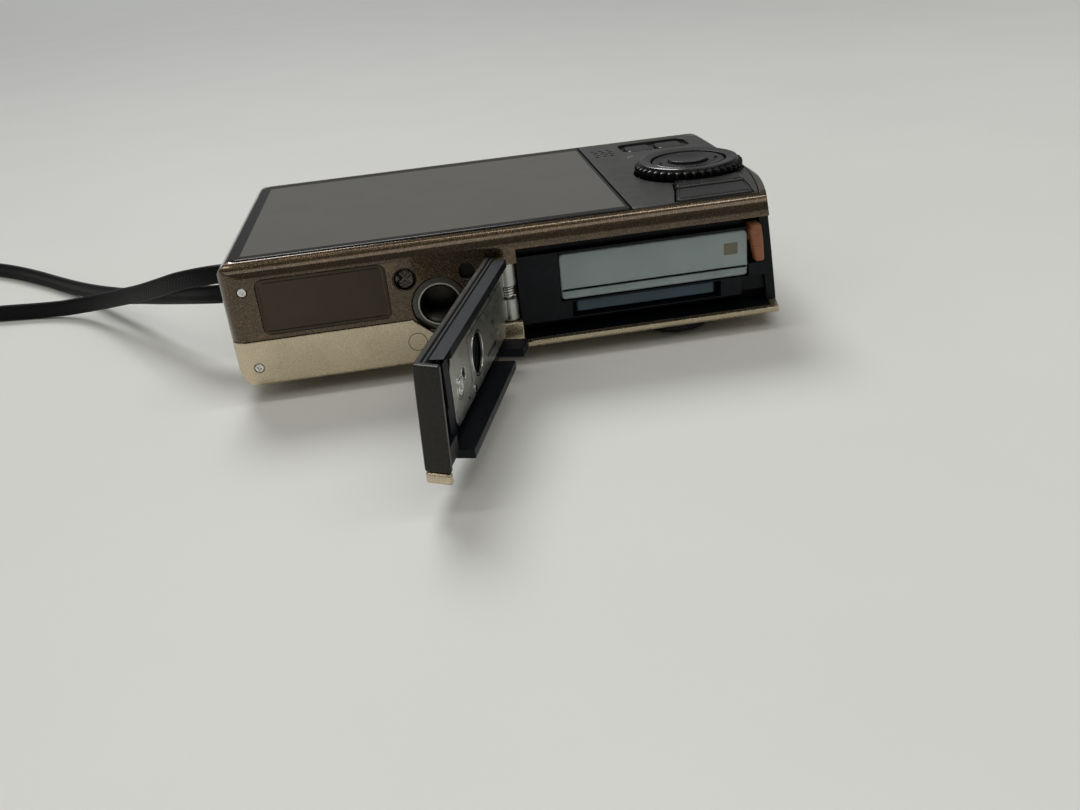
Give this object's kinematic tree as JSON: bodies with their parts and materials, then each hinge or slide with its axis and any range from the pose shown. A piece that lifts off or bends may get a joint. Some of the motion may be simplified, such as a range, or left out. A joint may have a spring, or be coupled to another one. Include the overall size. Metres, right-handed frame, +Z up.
{
  "type": "compact digital camera",
  "caption": "Pocket camera lying on its front, screen up, battery and card door open on its hinge, lens retracted, with controls, sockets and a wrist strap.",
  "frame": {"origin": "on the surface that the camera lies on, under the middle of its box with the door open and without the strap", "axes": "+X to the grip side, +Y to the top face with the shutter button, +Z up from the front to the screen"},
  "size_m": [0.2057, 0.1555, 0.0257],
  "materials": {
    "champagne_metal": "satin champagne anodised metal with fine grain",
    "bronze_metal": "dark bronze metallic paint with fine sparkle",
    "barrel_metal": "satin turned metal",
    "bay_plastic": "fine moulded blue-black plastic",
    "grip_rubber": "soft matt rubber",
    "window_glass": "hard coated window over the display",
    "lens_glass": "coated glass",
    "display": "grey display panel, off",
    "panel_plastic": "dark grey gloss plastic",
    "lamp_plastic": "clear light pipe",
    "steel": "bright pressed steel",
    "dark_steel": "dark plated steel",
    "gold": "gold plated contacts",
    "battery_plastic": "pale grey plastic",
    "card_plastic": "blue-grey plastic",
    "latch_plastic": "terracotta plastic",
    "black_parts": "black plastic",
    "board": "glass fibre board",
    "webbing": "fine woven black band"
  },
  "bodies": {
    "camera": {"front_cover": "champagne_metal", "rear_cover": "bronze_metal", "battery_bay": "bay_plastic", "finger_grip": "grip_rubber", "lens_ring": "champagne_metal", "lens_housing": "bay_plastic", "image_sensor": "board", "zoom_motor": "steel", "flash_window": "lens_glass", "flash_tube": "steel", "flash_capacitor": "black_parts", "focus_lamp": "lens_glass", "screen_window": "window_glass", "screen_panel": "display", "control_panel": "panel_plastic", "speaker": "black_parts", "main_board": "board", "dial_mount": "bay_plastic", "indicator_lamp": "lamp_plastic", "shutter_collar": "barrel_metal", "terminal_block": "steel", "tripod_socket": "steel", "label_plate": "bronze_metal", "case_screws": "steel", "socket_screw": "dark_steel", "strap_lug": "steel", "strap_end": "webbing", "wrist_strap": "webbing", "battery_contacts": "gold", "card_connector": "bay_plastic"},
    "outer_barrel": {"outer_barrel": "barrel_metal"},
    "inner_barrel": {"inner_barrel": "barrel_metal", "front_lens": "lens_glass"},
    "upper_blade": {"upper_blade": "black_parts"},
    "lower_blade": {"lower_blade": "black_parts"},
    "control_dial": {"control_dial": "panel_plastic"},
    "direction_pad": {"direction_pad": "panel_plastic"},
    "set_button": {"set_button": "panel_plastic"},
    "menu_button": {"menu_button": "panel_plastic"},
    "display_button": {"display_button": "panel_plastic"},
    "playback_button": {"playback_button": "panel_plastic"},
    "print_button": {"print_button": "panel_plastic"},
    "shutter_button": {"shutter_button": "barrel_metal"},
    "zoom_lever": {"zoom_lever": "barrel_metal"},
    "power_button": {"power_button": "barrel_metal"},
    "mode_switch": {"mode_switch": "panel_plastic"},
    "terminal_cover": {"terminal_cover": "bronze_metal"},
    "battery": {"battery_case": "battery_plastic", "battery_tray": "battery_plastic", "battery_terminals": "gold"},
    "battery_latch": {"battery_latch": "latch_plastic"},
    "memory_card": {"memory_card": "card_plastic"},
    "hinge_pin": {"hinge_pin": "steel", "hinge_spring": "steel"},
    "door": {"hinge_bracket": "steel", "door_outer": "bronze_metal", "door_trim": "champagne_metal", "door_frame": "bay_plastic", "door_plate": "steel", "door_screws": "steel"}
  },
  "joints": [
    {"name": "door_slide", "type": "slide", "parent": "camera", "child": "hinge_pin", "axis": [-1, 0, 0], "range_m": [0, 0.002]},
    {"name": "door_hinge", "type": "hinge", "parent": "hinge_pin", "child": "door", "pos_m": [-0.0015, -0.0054, 0.0126], "axis": [0, 0, 1], "range_deg": [0, 107.4]},
    {"name": "battery_slide", "type": "slide", "parent": "camera", "child": "battery", "axis": [0, 1, 0], "range_m": [-0.05, 0]},
    {"name": "latch_slide", "type": "slide", "parent": "camera", "child": "battery_latch", "axis": [-1, 0, 0], "range_m": [-0.0012, 0], "stiffness_N_per_m": 200},
    {"name": "card_slide", "type": "slide", "parent": "camera", "child": "memory_card", "axis": [0, 1, 0], "range_m": [-0.03, 0]},
    {"name": "dial_spin", "type": "hinge", "parent": "camera", "child": "control_dial", "pos_m": [0.0352, 0.0157, 0.024], "axis": [0, 0, 1], "continuous": true},
    {"name": "pad_press", "type": "slide", "parent": "camera", "child": "direction_pad", "axis": [0, 0, -1], "range_m": [0, 0.0003], "stiffness_N_per_m": 120},
    {"name": "set_press", "type": "slide", "parent": "camera", "child": "set_button", "axis": [0, 0, -1], "range_m": [0, 0.0003], "stiffness_N_per_m": 120},
    {"name": "menu_press", "type": "slide", "parent": "camera", "child": "menu_button", "axis": [0, 0, -1], "range_m": [0, 0.0003], "stiffness_N_per_m": 120},
    {"name": "display_press", "type": "slide", "parent": "camera", "child": "display_button", "axis": [0, 0, -1], "range_m": [0, 0.0003], "stiffness_N_per_m": 120},
    {"name": "playback_press", "type": "slide", "parent": "camera", "child": "playback_button", "axis": [0, 0, -1], "range_m": [0, 0.0003], "stiffness_N_per_m": 120},
    {"name": "print_press", "type": "slide", "parent": "camera", "child": "print_button", "axis": [0, 0, -1], "range_m": [0, 0.0003], "stiffness_N_per_m": 120},
    {"name": "shutter_press", "type": "slide", "parent": "camera", "child": "shutter_button", "axis": [0, -1, 0], "range_m": [0, 0.0005], "stiffness_N_per_m": 120},
    {"name": "power_press", "type": "slide", "parent": "camera", "child": "power_button", "axis": [0, -1, 0], "range_m": [0, 0.0004], "stiffness_N_per_m": 120},
    {"name": "zoom_lever_turn", "type": "hinge", "parent": "camera", "child": "zoom_lever", "pos_m": [0.03, 0.0499, 0.0131], "axis": [0, 1, 0], "range_deg": [-22, 22], "stiffness_Nm_per_rad": 0.002},
    {"name": "mode_slide", "type": "slide", "parent": "camera", "child": "mode_switch", "axis": [1, 0, 0], "range_m": [-0.002, 0.002]},
    {"name": "terminal_cover_hinge", "type": "hinge", "parent": "camera", "child": "terminal_cover", "pos_m": [0.04635, 0.03728, 0.0125], "axis": [0, 0, 1], "range_deg": [0, 100]},
    {"name": "outer_barrel_slide", "type": "slide", "parent": "camera", "child": "outer_barrel", "axis": [0, 0, -1], "range_m": [0, 0.009]},
    {"name": "inner_barrel_slide", "type": "slide", "parent": "outer_barrel", "child": "inner_barrel", "axis": [0, 0, -1], "range_m": [0, 0.009]},
    {"name": "upper_blade_slide", "type": "slide", "parent": "inner_barrel", "child": "upper_blade", "axis": [0, 1, 0], "range_m": [0, 0.006]},
    {"name": "lower_blade_slide", "type": "slide", "parent": "inner_barrel", "child": "lower_blade", "axis": [0, -1, 0], "range_m": [0, 0.006]}
  ],
  "couplings": [
    {"joint": "inner_barrel_slide", "follows": "outer_barrel_slide", "ratio": 1},
    {"joint": "lower_blade_slide", "follows": "upper_blade_slide", "ratio": 1}
  ]
}
